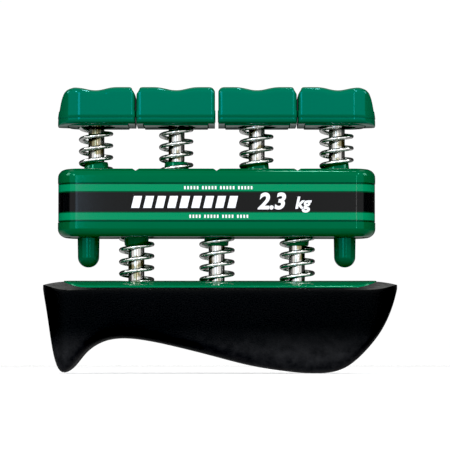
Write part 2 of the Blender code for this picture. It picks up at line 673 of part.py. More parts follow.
def build():
    clear_scene()
    green = material("green_plastic", (0.0, 0.157, 0.045), 0.25)
    dark_green = material("dark_green_plastic", (0.0, 0.11, 0.035), 0.3)
    black = material("black_rubber", (0.004, 0.004, 0.005), 0.6)
    chrome = material("chrome_steel", (0.8, 0.8, 0.82), 0.12, 1.0)
    steel = material("clip_steel", (0.5, 0.5, 0.52), 0.35, 1.0)
    film = material("label_film", (0.01, 0.3, 0.12), 0.3)

    palm_grip(black)
    palm_insert(green)
    housing_shell(green)
    housing_floor(green)
    label_band(film)
    stop_peg("stop_peg_left", PEG_X[0], dark_green)
    stop_peg("stop_peg_right", PEG_X[1], dark_green)

    head_z = INSERT_UNDER_Z - FIT_GAP - ROD_HEAD_THICKNESS
    lower_clip_z = FLOOR_TOP_Z + FIT_GAP
    lower_end_z = lower_clip_z + CLIP_THICKNESS + ROD_END_BEYOND_CLIP
    for k, x in enumerate(LOWER_ROD_X):
        head_top = head_z + ROD_HEAD_THICKNESS
        profile = rod_profile(lower_clip_z, lower_end_z, head_top)
        profile = [(HEAD_RADIUS, head_z), (HEAD_RADIUS, head_top)] + profile
        bm = bmesh.new()
        add_turned(bm, [(r, z - head_z) for r, z in profile])
        finish("lower_rod_%d" % (k + 1), bm, chrome, (x, 0.0, head_z))
        clip("lower_rod_clip_%d" % (k + 1), x, lower_clip_z, steel)
        spring("lower_spring_%d" % (k + 1), x, WELL_FLOOR_Z + FIT_GAP,
               HOUSING_UNDER_Z + SPRING_SEAT_DEPTH - FIT_GAP, LOWER_SPRING_TURN_DEG[k], chrome)

    upper_clip_z = ROOF_UNDER_Z - FIT_GAP - CLIP_THICKNESS
    upper_end_z = upper_clip_z - ROD_END_BEYOND_CLIP
    socket_z = BUTTON_TOP_Z - FINGER_DIP - BUTTON_ROOF - FIT_GAP
    for k, x in enumerate(UPPER_ROD_X):
        slide = bpy.data.objects.new("button_slide_%d" % (k + 1), None)
        slide.location = (x, 0.0, BUTTON_UNDER_Z)
        bpy.context.scene.collection.objects.link(slide)
        cap = button_cap(k, green)
        plate = button_plate(k, green)
        bm = bmesh.new()
        profile = rod_profile(upper_clip_z, upper_end_z, socket_z)
        add_turned(bm, [(r, z - BUTTON_UNDER_Z) for r, z in profile])
        rod = finish("upper_rod_%d" % (k + 1), bm, chrome, (x, 0.0, BUTTON_UNDER_Z))
        ring = clip("upper_rod_clip_%d" % (k + 1), x, upper_clip_z, steel)
        spring("upper_spring_%d" % (k + 1), x, HOUSING_TOP_Z - SPRING_SEAT_DEPTH + FIT_GAP,
               BUTTON_UNDER_Z + SPRING_SEAT_DEPTH - FIT_GAP, UPPER_SPRING_TURN_DEG[k], chrome)
        for piece in (cap, plate, rod, ring):
            piece.parent = slide
            piece.location = Vector(piece.location) - Vector(slide.location)


build()
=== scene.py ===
import math

import bmesh
import bpy
from mathutils import Matrix, Vector


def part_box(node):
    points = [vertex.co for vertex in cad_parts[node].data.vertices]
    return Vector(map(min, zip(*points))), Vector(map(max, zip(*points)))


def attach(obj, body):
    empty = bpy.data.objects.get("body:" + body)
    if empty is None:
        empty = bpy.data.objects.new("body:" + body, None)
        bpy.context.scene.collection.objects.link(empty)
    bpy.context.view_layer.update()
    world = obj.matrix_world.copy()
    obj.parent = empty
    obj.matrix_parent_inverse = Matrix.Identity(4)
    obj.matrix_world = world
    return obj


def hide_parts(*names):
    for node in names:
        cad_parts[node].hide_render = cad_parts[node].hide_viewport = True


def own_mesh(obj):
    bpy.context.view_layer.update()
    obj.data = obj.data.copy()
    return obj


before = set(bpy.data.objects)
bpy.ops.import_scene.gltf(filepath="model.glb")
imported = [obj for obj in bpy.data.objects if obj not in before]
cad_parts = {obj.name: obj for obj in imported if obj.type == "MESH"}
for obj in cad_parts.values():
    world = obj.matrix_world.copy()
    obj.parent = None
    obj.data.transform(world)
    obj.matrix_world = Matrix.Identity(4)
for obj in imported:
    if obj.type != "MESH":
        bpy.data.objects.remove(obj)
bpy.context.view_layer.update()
MM = 0.001


# ----------------------------------------------------------------------------------
# Palm grip.  A soft black rubber moulding, hooked at one end and round at the other,
# moulded in one piece with a shallow pocket in its crowned top for the green insert.
# It is drawn out section by section along its length, following the frame.

def begin(name, add, scale=(1.0, 1.0, 1.0), **sizes):
    """Add a primitive at its size and place, and open it for editing."""
    if bpy.context.mode != "OBJECT":
        bpy.ops.object.mode_set(mode="OBJECT")
    bpy.ops.object.select_all(action="DESELECT")
    add(**sizes)
    piece = bpy.context.object
    piece.name = name
    piece.scale = scale
    bpy.ops.object.transform_apply(location=True, rotation=True, scale=True)
    bpy.ops.object.mode_set(mode="EDIT")
    bpy.ops.mesh.select_all(action="DESELECT")
    return piece


def activate(piece):
    """Select one piece alone and make it the active one."""
    bpy.ops.object.select_all(action="DESELECT")
    piece.select_set(True)
    bpy.context.view_layer.objects.active = piece


def pick(kind, test):
    """Select what passes the test in the open mesh, and nothing else."""
    bpy.ops.mesh.select_mode(type=kind)
    bpy.ops.mesh.select_all(action="DESELECT")
    mesh = bpy.context.edit_object.data
    bm = bmesh.from_edit_mesh(mesh)
    parts = {"VERT": bm.verts, "EDGE": bm.edges, "FACE": bm.faces}[kind]
    for part in parts:
        if test(part):
            part.select_set(True)
    bm.select_flush_mode()
    bmesh.update_edit_mesh(mesh)


def close(piece, angle=30):
    """Leave edit mode and shade the piece, keeping its hard corners."""
    bpy.ops.object.mode_set(mode="OBJECT")
    activate(piece)
    bpy.ops.object.shade_smooth_by_angle(angle=math.radians(angle))


def apply_all(piece):
    """Apply the piece's modifiers, in order."""
    activate(piece)
    for step in list(piece.modifiers):
        bpy.ops.object.modifier_apply(modifier=step.name)


def subdivide(piece, levels):
    """Round a piece off, between its creases and its close rows."""
    step = piece.modifiers.new("subdivision", "SUBSURF")
    step.levels = levels
    step.render_levels = levels
    apply_all(piece)


def carve(piece, cutter, operation="DIFFERENCE"):
    """Cut a piece with another, or join them, and take the cutter away."""
    if bpy.context.mode != "OBJECT":
        bpy.ops.object.mode_set(mode="OBJECT")
    step = piece.modifiers.new("carve", "BOOLEAN")
    step.operation = operation
    step.solver = "EXACT"
    step.object = cutter
    apply_all(piece)
    bpy.data.objects.remove(cutter)


def probe(node, start, direction):
    """Where a line from start first meets a CAD node."""
    hit, place, _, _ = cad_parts[node].ray_cast(Vector(start), Vector(direction))
    return place if hit else None


def extent(node):
    """Lowest corner, highest corner and middle of a CAD node."""
    low, high = (Vector(corner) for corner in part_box(node))
    return low, high, (low + high) / 2


TINY = 0.01 * MM              # how close two places are that count as one
CROWN_REACH = 3.2 * MM        # how far below its new height the crown may find a top


def cut_rows(*heights):
    """Cut level rows of edges into the open mesh."""
    for z in heights:
        bpy.ops.mesh.select_all(action="SELECT")
        bpy.ops.mesh.bisect(plane_co=(0, 0, z), plane_no=(0, 0, 1))


def is_level(edge):
    """Whether an edge's two ends are at one height."""
    return abs(edge.verts[0].co.z - edge.verts[1].co.z) < TINY


def swept(name, stations, low_corner, high_corner, lanes):
    """Draw a section out along X through (x, half depth, low z, high z) stations.

    The section is a plane with rounded corners, (radius, segments) below and above,
    and lanes cuts across its top.
    """
    x, depth, low, high = stations[0]
    height = max(s[3] - s[2] for s in stations)
    width = 2 * max(s[1] for s in stations)
    piece = begin(name, bpy.ops.mesh.primitive_plane_add, size=1.0,
                  location=(x, 0.0, high - height / 2), rotation=(0.0, math.pi / 2, 0.0),
                  scale=(height, width, 1.0))
    middle = high - height / 2
    for (radius, segments), below in ((low_corner, True), (high_corner, False)):
        pick("VERT", lambda v: (v.co.z < middle) == below and abs(v.co.y) > 0.49 * width)
        bpy.ops.mesh.bevel(affect="VERTICES", offset=radius, segments=segments, profile=0.5)
    pick("EDGE", lambda e: all(v.co.z > high - TINY for v in e.verts))
    bpy.ops.mesh.subdivide(number_cuts=lanes)
    bpy.ops.mesh.select_mode(type="FACE")
    bpy.ops.mesh.select_all(action="SELECT")
    bpy.ops.transform.resize(value=(1.0, 2 * depth / width, (high - low) / height),
                             center_override=(x, 0.0, high))
    for new_x, new_depth, new_low, new_high in stations[1:]:
        bpy.ops.mesh.extrude_region_move(
            TRANSFORM_OT_translate={"value": (new_x - x, 0.0, new_high - high)})
        scale = (1.0, new_depth / depth, (new_high - new_low) / (high - low))
        bpy.ops.transform.resize(value=scale, center_override=(new_x, 0.0, new_high))
        x, depth, low, high = new_x, new_depth, new_low, new_high
    bpy.ops.mesh.select_all(action="SELECT")
    bpy.ops.mesh.normals_make_consistent(inside=False)
    return piece


def crown(piece, top):
    """Lift the top of the open mesh to the height that top(x, y) gives."""
    mesh = piece.data
    bm = bmesh.from_edit_mesh(mesh)
    for vert in bm.verts:
        height = top(vert.co.x, vert.co.y)
        if vert.co.z > height - CROWN_REACH and vert.normal.z > 0.7:
            vert.co.z = height
    bmesh.update_edit_mesh(mesh)


GRIP_CROWN_DROP = 2.8 * MM    # from the crown line down to the front rim
GRIP_CROWN_POWER = 3          # how flat the crown is across its middle
GRIP_END_DROP = 1.1 * MM      # from the crown line down to the two end tips
GRIP_END_REACH = 8.0 * MM
GRIP_STATIONS = 36
GRIP_END_INSET = 0.05 * MM    # of the outer stations, so that they meet the frame
GRIP_SIDE_LEVEL = 1.2 * MM    # above a section's low side, where its depth is taken
GRIP_SIDE_MARGIN = 0.4 * MM   # and at least this far below its top
GRIP_UNDER_EDGE = (5.0 * MM, 4)        # radius and steps of each long edge
GRIP_TOP_EDGE = (0.7 * MM, 2)

grip_low, grip_high, _ = extent("palm_grip")
grip_half = (grip_high.x - grip_low.x) / 2
grip_depth = (grip_high.y - grip_low.y) / 2
insert_low, insert_high, _ = extent("palm_insert")
crown_z = grip_high.z


def base_top(x, y):
    """Height of the crowned top of the palm base."""
    along = max(0.0, abs(x) - (grip_half - GRIP_END_REACH)) / GRIP_END_REACH
    across = abs(y / grip_depth) ** GRIP_CROWN_POWER
    return crown_z - GRIP_CROWN_DROP * across - GRIP_END_DROP * along ** 2


def grip_stations():
    """Sections of the grip, crowded towards its two ends."""
    stations = []
    for k in range(GRIP_STATIONS + 1):
        x = -grip_half * math.cos(math.pi * k / GRIP_STATIONS)
        x = max(GRIP_END_INSET - grip_half, min(grip_half - GRIP_END_INSET, x))
        low = probe("palm_grip", (x, 0.0, -0.01), (0, 0, 1)).z
        level = min(max(low, insert_low.z) + GRIP_SIDE_LEVEL,
                    base_top(x, 0.0) - GRIP_SIDE_MARGIN)
        depth = abs(probe("palm_grip", (x, -0.1, level), (0, 1, 0)).y)
        stations.append((x, depth, low, base_top(x, depth)))
    return stations


grip = swept("grip_moulding", grip_stations(), GRIP_UNDER_EDGE, GRIP_TOP_EDGE, 6)
crown(grip, base_top)
close(grip)
subdivide(grip, 2)

INSERT_END_REACH = 7.0 * MM
INSERT_CORNER_SHARE = 0.8     # of the insert's half depth, taken by its corners
CORNER_STEPS = 8
SIDE_STEPS = 14
INSERT_GAP = 0.15 * MM        # all round the insert, in its pocket
FIT_GAP = 0.3 * MM            # round what is let into another piece
HEAD_ROOM = 4.0 * MM          # height of the hole for each rod's head


def insert_stations(grow, low, lift):
    """Plan of the insert: long straight sides and elliptical corners."""
    end = (insert_high.x - insert_low.x) / 2 + grow
    depth = (insert_high.y - insert_low.y) / 2 + grow
    corner = INSERT_CORNER_SHARE * depth
    stations = []
    for k in range(CORNER_STEPS + 1):
        turn = math.pi / 2 * k / CORNER_STEPS
        x = -end + INSERT_END_REACH * (1 - math.cos(turn))
        stations.append((x, depth - corner * (1 - math.sin(turn))))
    flat = end - INSERT_END_REACH
    stations += [(-flat + 2 * flat * k / SIDE_STEPS, depth) for k in range(1, SIDE_STEPS)]
    stations += [(-x, d) for x, d in reversed(stations[:CORNER_STEPS + 1])]
    return [(x, d, low, base_top(x, d) + lift) for x, d in stations]


pocket = swept("pocket", insert_stations(INSERT_GAP, insert_low.z - FIT_GAP, 3 * MM),
               (0.2 * MM, 1), (0.2 * MM, 1), 4)
close(pocket)
carve(grip, pocket)
for k in (1, 2, 3):
    rod_low, rod_high, rod_mid = extent("lower_rod_%d" % k)
    head = begin("head_room", bpy.ops.mesh.primitive_cylinder_add, vertices=48,
                 radius=(rod_high.x - rod_low.x) / 2 + FIT_GAP, depth=HEAD_ROOM,
                 location=(rod_mid.x, 0.0, rod_low.z - FIT_GAP + HEAD_ROOM / 2))
    carve(grip, head)
close(grip, 40)
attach(grip, "palm_base")
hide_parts("palm_grip")


def node(tree, kind, **values):
    """A shader node with its settings and plain input values."""
    made = tree.nodes.new(kind)
    for key, value in values.items():
        if key in made.inputs:
            made.inputs[key].default_value = value
        else:
            setattr(made, key, value)
    return made


def feed(tree, source, socket):
    """Feed an input with another node's output, or with a plain value or colour."""
    if isinstance(source, bpy.types.NodeSocket):
        tree.links.new(source, socket)
    elif socket.type == "RGBA":
        colour = source if isinstance(source, tuple) else (source,) * 3
        socket.default_value = (*colour, 1.0)
    else:
        socket.default_value = source


def math_of(tree, operation, *terms, clamp=False):
    """The result of a sum on outputs or plain values."""
    made = node(tree, "ShaderNodeMath", operation=operation, use_clamp=clamp)
    for term, socket in zip(terms, made.inputs):
        feed(tree, term, socket)
    return made.outputs[0]


def ranged(tree, value, start, end, low=0.0, high=1.0, curve="LINEAR"):
    """An output mapped so that start gives low and end gives high."""
    made = node(tree, "ShaderNodeMapRange", interpolation_type=curve)
    for label, term in (("Value", value), ("From Min", start), ("From Max", end),
                        ("To Min", low), ("To Max", high)):
        feed(tree, term, made.inputs[label])
    return made.outputs["Result"]


def mixed(tree, share, first, second, blend="MIX"):
    """Two colours, each an output or a plain value, mixed by a share."""
    made = node(tree, "ShaderNodeMix", data_type="RGBA", blend_type=blend)
    for label, term in (("Factor", share), ("A", first), ("B", second)):
        feed(tree, term, made.inputs[label])
    return made.outputs["Result"]


def axis_of(tree, axis):
    """One coordinate of the shaded place."""
    place = tree.nodes.new("ShaderNodeTexCoord")
    split = tree.nodes.new("ShaderNodeSeparateXYZ")
    tree.links.new(place.outputs["Object"], split.inputs["Vector"])
    return split.outputs[axis]


def stepped(ramp, steps):
    """Set a colour ramp's stops, (position, colour) each."""
    while len(ramp.elements) < len(steps):
        ramp.elements.new(1.0)
    for element, (position, colour) in zip(ramp.elements, steps):
        element.position = position
        element.color = colour


def new_group(name, inputs, outputs):
    """An empty node group with named sockets, (name, kind, default) each."""
    group = bpy.data.node_groups.new(name, "ShaderNodeTree")
    for label, kind, value in inputs:
        socket = group.interface.new_socket(label, in_out="INPUT", socket_type=kind)
        socket.default_value = value
    for label, kind in outputs:
        group.interface.new_socket(label, in_out="OUTPUT", socket_type=kind)
    return group


def moulded_surface():
    """Colour, roughness and fine relief that a moulded skin varies by."""
    group = new_group("moulded_surface",
                      (("Colour", "NodeSocketColor", (0.5, 0.5, 0.5, 1.0)),
                       ("Mottle", "NodeSocketFloat", 0.1),
                       ("Roughness", "NodeSocketFloat", 0.3),
                       ("Roughness spread", "NodeSocketFloat", 0.05),
                       ("Grain per metre", "NodeSocketFloat", 2000.0)),
                      (("Colour", "NodeSocketColor"), ("Roughness", "NodeSocketFloat"),
                       ("Height", "NodeSocketFloat")))
    link = group.links.new
    given = group.nodes.new("NodeGroupInput")
    out = group.nodes.new("NodeGroupOutput")
    place = group.nodes.new("ShaderNodeTexCoord")
    flow = node(group, "ShaderNodeTexNoise", Scale=55.0, Detail=3.0, Roughness=0.55)
    grain = node(group, "ShaderNodeTexNoise", Detail=2.0, Roughness=0.6)
    link(place.outputs["Object"], flow.inputs["Vector"])
    link(place.outputs["Object"], grain.inputs["Vector"])
    link(given.outputs["Grain per metre"], grain.inputs["Scale"])

    shift = math_of(group, "SUBTRACT", flow.outputs["Fac"], 0.5)
    amount = math_of(group, "MULTIPLY", shift, given.outputs["Mottle"])
    tint = node(group, "ShaderNodeHueSaturation")
    link(given.outputs["Colour"], tint.inputs["Color"])
    link(math_of(group, "ADD", amount, 1.0), tint.inputs["Value"])
    link(tint.outputs["Color"], out.inputs["Colour"])

    spread = math_of(group, "MULTIPLY", shift, given.outputs["Roughness spread"])
    rough = math_of(group, "ADD", spread, given.outputs["Roughness"], clamp=True)
    link(rough, out.inputs["Roughness"])
    link(grain.outputs["Fac"], out.inputs["Height"])
    return group


SURFACE = moulded_surface()


def surfaced(name, group, relief, **inputs):
    """A material whose colour, roughness and relief come from a node group."""
    made = bpy.data.materials.new(name)
    made.use_nodes = True
    tree = made.node_tree
    shader = tree.nodes["Principled BSDF"]
    surface = tree.nodes.new("ShaderNodeGroup")
    surface.node_tree = group
    for key, value in inputs.items():
        feed(tree, value, surface.inputs[key.replace("_", " ")])
    bump = node(tree, "ShaderNodeBump", Strength=1.0, Distance=relief)
    tree.links.new(surface.outputs["Colour"], shader.inputs["Base Color"])
    tree.links.new(surface.outputs["Roughness"], shader.inputs["Roughness"])
    tree.links.new(surface.outputs["Height"], bump.inputs["Height"])
    tree.links.new(bump.outputs["Normal"], shader.inputs["Normal"])
    return made


def moulded(name, colour, mottle, roughness, spread, grain, relief, **shader_values):
    """A moulded material: the shared surface, and a shader with its own gloss."""
    made = surfaced(name, SURFACE, relief, Colour=colour, Mottle=mottle, Roughness=roughness,
                    Roughness_spread=spread, Grain_per_metre=grain)
    shader = made.node_tree.nodes["Principled BSDF"]
    for key, value in shader_values.items():
        shader.inputs[key.replace("_", " ")].default_value = value
    return made


def dress(piece, look):
    """Give a piece one look all over."""
    piece.data.materials.clear()
    piece.data.materials.append(look)


def paled(look, pale_colour, axis, from_place, to_place):
    """Let a look pale in patches along an axis, counted from the middle of the grip. On the
    rubber this is painted light, paler towards its bottom; on the rim it gives paler patches
    towards its ends.
    """
    tree = look.node_tree
    shader = tree.nodes["Principled BSDF"]
    plain = shader.inputs["Base Color"].links[0].from_socket
    place = tree.nodes.new("ShaderNodeTexCoord")
    patches = node(tree, "ShaderNodeTexNoise", Scale=420.0, Detail=3.0, Roughness=0.6)
    tree.links.new(place.outputs["Object"], patches.inputs["Vector"])
    out = math_of(tree, "ABSOLUTE", axis_of(tree, axis))
    nearness = ranged(tree, out, from_place, to_place, curve="SMOOTHSTEP")
    amount = math_of(tree, "MULTIPLY", nearness, patches.outputs["Fac"], clamp=True)
    tree.links.new(mixed(tree, amount, plain, pale_colour), shader.inputs["Base Color"])


rubber = moulded("black_rubber", (0.0022, 0.0022, 0.0022), 0.5, 0.6, 0.2, 2600.0, 0.00008,
                 Specular_IOR_Level=0.1, Sheen_Weight=0.03, Sheen_Roughness=0.3)
# Painted light: the rubber pales in patches towards its bottom, standing in for light thrown
# up from the floor.
paled(rubber, (0.04, 0.04, 0.043), "Z", 14 * MM, -3 * MM)
rubber_rim = moulded("black_rubber_rim", (0.006, 0.006, 0.006), 1.2, 0.55, 0.3, 1500.0, 0.0003,
                     Specular_IOR_Level=0.13, Sheen_Weight=0.05, Sheen_Roughness=0.3)
paled(rubber_rim, (0.12, 0.12, 0.115), "X", 34 * MM, 48 * MM)
dress(grip, rubber)
grip.data.materials.append(rubber_rim)
for face in grip.data.polygons:
    on_top = face.center.z > crown_z - GRIP_CROWN_DROP - 0.5 * MM and face.normal.z > 0.6
    face.material_index = 1 if on_top else 0


# ----------------------------------------------------------------------------------
# Palm insert.  A glossy green plate with a crowned top, pressed into the pocket of
# the grip.  Three round wells take the lower springs, and a hole in each their rod.

SHEEN = (0.12, 0.75, 0.52, 1.0)  # cool tint of the gloss
green = moulded("green_plastic", (0.0, 0.085, 0.028), 0.12, 0.08, 0.04, 900.0, 0.000006,
                Specular_Tint=SHEEN)
insert_green = moulded("insert_green_plastic", (0.0, 0.125, 0.046), 0.12, 0.12, 0.04, 900.0,
                       0.000006, Specular_Tint=SHEEN)

INSERT_LIFT = 0.15 * MM       # of the insert's top above the rim round it
insert = swept("insert_plate", insert_stations(0.0, insert_low.z, INSERT_LIFT),
               (0.3 * MM, 1), (0.8 * MM, 3), 6)
crown(insert, lambda x, y: base_top(x, y) + INSERT_LIFT)
close(insert)
subdivide(insert, 2)

WELL_DEPTH = 2.4 * MM
WELL_RADIUS = 5.45 * MM
ROD_HOLE_RADIUS = 2.6 * MM
PAST = 1 * MM                 # how far a cutter goes on past a surface


def drill(piece, x, radius, low, high):
    """A round hole of the given radius between two heights."""
    bit = begin("bit", bpy.ops.mesh.primitive_cylinder_add, vertices=64, radius=radius,
                depth=high - low, location=(x, 0.0, (low + high) / 2))
    carve(piece, bit)


lower_x = [extent("lower_rod_%d" % k)[2].x for k in (1, 2, 3)]
upper_x = [extent("upper_rod_%d" % k)[2].x for k in (1, 2, 3, 4)]
for x in lower_x:
    drill(insert, x, WELL_RADIUS, crown_z - WELL_DEPTH, crown_z + WELL_DEPTH)
    drill(insert, x, ROD_HOLE_RADIUS, insert_low.z - WELL_DEPTH, crown_z)
close(insert, 40)
dress(insert, insert_green)
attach(insert, "palm_base")
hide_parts("palm_insert")


# ----------------------------------------------------------------------------------
# Lower rods.  Bright plated steel rods with an upset head held under the insert and a
# groove near the top for a retaining clip.

def drawn_metal():
    """Roughness and relief of bright drawn and plated steel."""
    group = new_group("drawn_metal",
                      (("Colour", "NodeSocketColor", (0.8, 0.8, 0.8, 1.0)),
                       ("Roughness", "NodeSocketFloat", 0.1),
                       ("Spread", "NodeSocketFloat", 0.1),
                       ("Tarnish", "NodeSocketFloat", 0.2)),
                      (("Colour", "NodeSocketColor"), ("Roughness", "NodeSocketFloat"),
                       ("Height", "NodeSocketFloat")))
    link = group.links.new
    given = group.nodes.new("NodeGroupInput")
    out = group.nodes.new("NodeGroupOutput")
    place = group.nodes.new("ShaderNodeTexCoord")
    stretch = node(group, "ShaderNodeMapping", Scale=(1.0, 1.0, 0.12))
    streak = node(group, "ShaderNodeTexNoise", Scale=2200.0, Detail=2.0)
    cloud = node(group, "ShaderNodeTexNoise", Scale=240.0, Detail=3.0, Roughness=0.5)
    link(place.outputs["Object"], stretch.inputs["Vector"])
    link(stretch.outputs["Vector"], streak.inputs["Vector"])
    link(place.outputs["Object"], cloud.inputs["Vector"])
    patch = ranged(group, cloud.outputs["Fac"], 0.54, 0.60)
    share = math_of(group, "MULTIPLY", patch, given.outputs["Tarnish"])
    link(mixed(group, share, given.outputs["Colour"], (0.16, 0.135, 0.05)),
         out.inputs["Colour"])
    spread = math_of(group, "MULTIPLY", streak.outputs["Fac"], given.outputs["Spread"])
    link(math_of(group, "ADD", spread, given.outputs["Roughness"]), out.inputs["Roughness"])
    link(streak.outputs["Fac"], out.inputs["Height"])
    return group


METAL = drawn_metal()


def plated(name, colour, roughness, spread, tarnish, relief):
    """A bright metal material, tarnished in patches."""
    made = surfaced(name, METAL, relief, Colour=colour, Roughness=roughness, Spread=spread,
                    Tarnish=tarnish)
    made.node_tree.nodes["Principled BSDF"].inputs["Metallic"].default_value = 1.0
    return made


rod_chrome = plated("rod_chrome", (0.50, 0.49, 0.47), 0.10, 0.10, 0.85, 0.000002)
ROD_RADIUS = 2.3 * MM
SOFT_EDGE = 0.35 * MM
GROOVE_DEPTH = 0.5 * MM
HEAD_THICKNESS = 1.6 * MM


def groove(low, high, depth):
    """Sink the open mesh's side faces between two heights."""
    cut_rows(low, high)
    pick("FACE", lambda f: low < f.calc_center_median().z < high and abs(f.normal.z) < 0.5)
    bpy.ops.mesh.extrude_region_shrink_fatten(TRANSFORM_OT_shrink_fatten={"value": -depth})


def rod(name, low, high, clip_node):
    """A round rod with soft ends, grooved round its clip."""
    piece = begin(name, bpy.ops.mesh.primitive_cylinder_add, vertices=64, radius=ROD_RADIUS,
                  depth=high.z - low.z,
                  location=((low.x + high.x) / 2, 0.0, (low.z + high.z) / 2))
    pick("EDGE", is_level)
    bpy.ops.mesh.bevel(offset=SOFT_EDGE, segments=3)
    clip_low, clip_high, _ = extent(clip_node)
    groove(clip_low.z - FIT_GAP, clip_high.z + FIT_GAP, GROOVE_DEPTH)
    return piece


def repeat(piece, name, shift):
    """A copy of a piece with its own mesh, moved along X."""
    copied = piece.copy()
    copied.data = piece.data.copy()
    copied.name = name
    bpy.context.scene.collection.objects.link(copied)
    copied.data.transform(Matrix.Translation((shift, 0.0, 0.0)))
    return copied


low, high, _ = extent("lower_rod_1")
first_rod = rod("rod_lower_1", low, high, "lower_rod_clip_1")
cut_rows(low.z + HEAD_THICKNESS)
pick("FACE", lambda f: f.calc_center_median().z < low.z + HEAD_THICKNESS
     and abs(f.normal.z) < 0.5)
bpy.ops.mesh.extrude_region_shrink_fatten(
    TRANSFORM_OT_shrink_fatten={"value": (high.x - low.x) / 2 - ROD_RADIUS})
close(first_rod)
dress(first_rod, rod_chrome)
lower_rods = [first_rod] + [repeat(first_rod, "rod_lower_%d" % k, lower_x[k - 1] - lower_x[0])
                            for k in (2, 3)]
for k, piece in enumerate(lower_rods, 1):
    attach(piece, "palm_base")
    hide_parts("lower_rod_%d" % k)


# ----------------------------------------------------------------------------------
# Lower springs.  Right-handed coils of bright plated wire round the rods, standing in
# the insert's wells and pressing up under the housing, with plain cut ends.

spring_chrome = plated("spring_chrome", (0.8, 0.8, 0.78), 0.08, 0.06, 0.25, 0.000001)
WIRE = 1.2 * MM
SPRING_PITCH = 3.38 * MM
SEAT_GAP = 0.25 * MM          # the frame leaves this much beyond each end of a spring
SPRING_OFFSET = 0.1 * MM      # of a spring to one side of its rod
POINTS_PER_TURN = 40


def coil(name, x, outer, low, high, left_z):
    """A compression spring whose front strand leaves its left side at left_z."""
    radius = outer - WIRE / 2
    bottom = low - SEAT_GAP + WIRE / 2
    top = high + SEAT_GAP - WIRE / 2
    turns = (top - bottom) / SPRING_PITCH
    count = int(turns * POINTS_PER_TURN)
    start = -0.5 - (left_z - bottom) / SPRING_PITCH
    curve = bpy.data.curves.new(name, "CURVE")
    curve.dimensions = "3D"
    curve.bevel_depth = WIRE / 2
    curve.bevel_resolution = 5
    curve.use_fill_caps = True
    spline = curve.splines.new("POLY")
    spline.points.add(count)
    for k in range(count + 1):
        turn = turns * k / count
        z = bottom + turn * SPRING_PITCH
        angle = 2 * math.pi * (start + turn)
        spline.points[k].co = (x + radius * math.cos(angle), radius * math.sin(angle), z, 1.0)
    made = bpy.data.objects.new(name, curve)
    bpy.context.scene.collection.objects.link(made)
    activate(made)
    bpy.ops.object.convert(target="MESH")
    piece = bpy.context.object
    bpy.ops.object.shade_smooth_by_angle(angle=math.radians(50))
    return piece


LOWER_COIL_RADIUS = 5.1 * MM
LOWER_STRANDS = (28.5, 26.8, 27.0)     # heights in mm at which a front strand starts
for k, left_z in enumerate(LOWER_STRANDS, 1):
    low, high, mid = extent("lower_spring_%d" % k)
    piece = coil("spring_lower_%d" % k, lower_x[k - 1] + SPRING_OFFSET, LOWER_COIL_RADIUS,
                 low.z, high.z, left_z * MM)
    dress(piece, spring_chrome)
    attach(piece, "palm_base")
    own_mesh(piece)
    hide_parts("lower_spring_%d" % k)


# ----------------------------------------------------------------------------------
# Housing floor.  A green plate let into the underside of the shell, with a tapered
# boss round each lower rod and a shallow seat round each boss for the spring.

HOUSING_WALL = 2.4 * MM
SEAT_DEPTH = 0.8 * MM
BOSS_BASE_RADIUS = 3.7 * MM
BOSS_TIP_RADIUS = 3.3 * MM
BORE_RADIUS = 2.5 * MM
END_REACH = 6.0 * MM          # of the rounded plan ends, along X
END_FLAT = 2.0 * MM           # half the flat that is left at each end
FINE_EDGE = 0.25 * MM
ROOT_LAP = 0.1 * MM           # how far a boss is sunk into its wall

shell_low, shell_high, shell_mid = extent("housing_shell")
floor_low, floor_high, _ = extent("housing_floor")
shell_depth = (shell_high.y - shell_low.y) / 2
between_rods = (lower_x[0] + lower_x[1]) / 2
housing_under = probe("housing_floor", (between_rods, floor_low.y + 1 * MM, 0), (0, 0, 1)).z
clear_of_notches = shell_mid.x + 6 * MM
housing_top = probe("housing_shell", (clear_of_notches, shell_low.y + 5 * MM, 1), (0, 0, -1)).z


def rounded_block(name, inset, low, high, segments=10):
    """A long block with elliptical plan corners, inset from the housing's outline."""
    depth = shell_depth - inset
    reach = END_REACH - inset / 2
    squash = reach / (depth - END_FLAT + inset / 2)
    length = shell_high.x - shell_low.x - 2 * inset
    piece = begin(name, bpy.ops.mesh.primitive_cube_add, size=1.0,
                  location=(shell_mid.x, 0.0, (low + high) / 2),
                  scale=(length, 2 * depth * squash, high - low))
    pick("EDGE", lambda e: not is_level(e))
    bpy.ops.mesh.bevel(offset=reach, segments=segments, profile=0.5)
    bpy.ops.mesh.select_all(action="SELECT")
    bpy.ops.transform.resize(value=(1.0, 1 / squash, 1.0), center_override=(0, 0, 0))
    return piece


def boss(piece, x, root, tip):
    """A tapered guide boss, joined to its wall, from its root height to its tip."""
    cone = begin("boss", bpy.ops.mesh.primitive_cone_add, vertices=64,
                 radius1=BOSS_BASE_RADIUS, radius2=BOSS_TIP_RADIUS, depth=abs(tip - root),
                 location=(x, 0.0, (root + tip) / 2),
                 rotation=(0.0, 0.0 if tip > root else math.pi, 0.0))
    pick("EDGE", lambda e: all(abs(v.co.z - tip) < TINY for v in e.verts))
    bpy.ops.mesh.bevel(offset=SOFT_EDGE, segments=3)
    carve(piece, cone, "UNION")


floor_inset = shell_high.x - floor_high.x
floor_plate = rounded_block("floor_plate", floor_inset, housing_under, floor_high.z)
pick("EDGE", lambda e: all(v.co.z < housing_under + TINY for v in e.verts))
bpy.ops.mesh.bevel(offset=FINE_EDGE, segments=2)
close(floor_plate)
for x in lower_x:
    drill(floor_plate, x, WELL_RADIUS, housing_under - PAST, housing_under + SEAT_DEPTH)
    boss(floor_plate, x, housing_under + SEAT_DEPTH + ROOT_LAP, floor_low.z)
    drill(floor_plate, x, BORE_RADIUS, floor_low.z - PAST, floor_high.z + PAST)
close(floor_plate, 35)
dress(floor_plate, green)
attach(floor_plate, "housing")
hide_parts("housing_floor")


